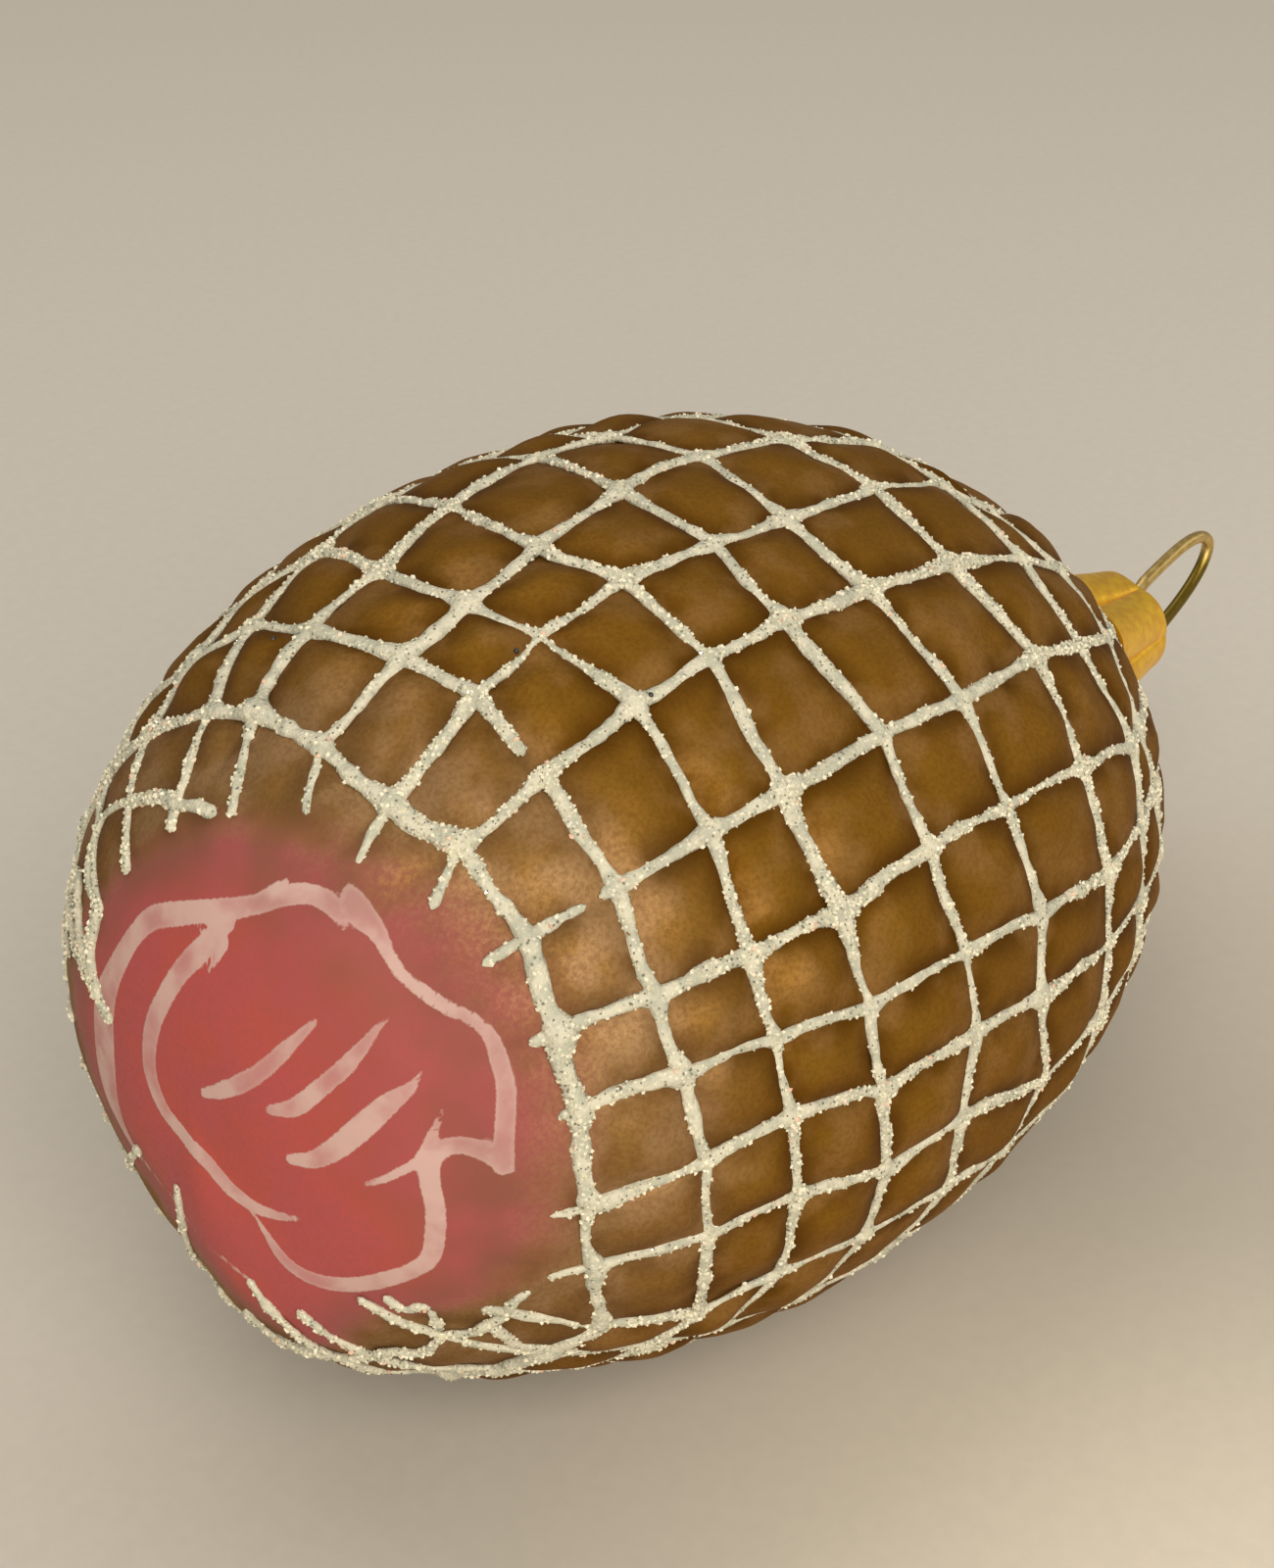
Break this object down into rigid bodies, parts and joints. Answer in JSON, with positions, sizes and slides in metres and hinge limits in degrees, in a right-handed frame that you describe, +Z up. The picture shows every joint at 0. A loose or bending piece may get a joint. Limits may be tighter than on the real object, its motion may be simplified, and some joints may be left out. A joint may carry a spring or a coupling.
{
  "type": "glass ham ornament",
  "caption": "Hanging tree ornament of blown glass in the shape of a glazed ham in netting, with a fluted metal cap and a wire hanging loop.",
  "frame": {"origin": "middle of the bounding box, at the level of the flat spot that the ham rests on", "axes": "+X along the ham from its cut face to its cap, which is the lower end by 4 degrees; +Z up; -Y is the side the picture shows"},
  "size_m": [0.119, 0.0622, 0.0587],
  "materials": {
    "painted_glass": "silvered glass under a satin brown lacquer, pink on the cut face, with a raised cream glitter net",
    "gold_cap": "thin stamped sheet, mottled bright gold",
    "brass_wire": "smooth drawn wire"
  },
  "bodies": {
    "root": {"glass_body": "painted_glass", "cap": "gold_cap", "hanging_loop": "brass_wire"}
  },
  "joints": []
}
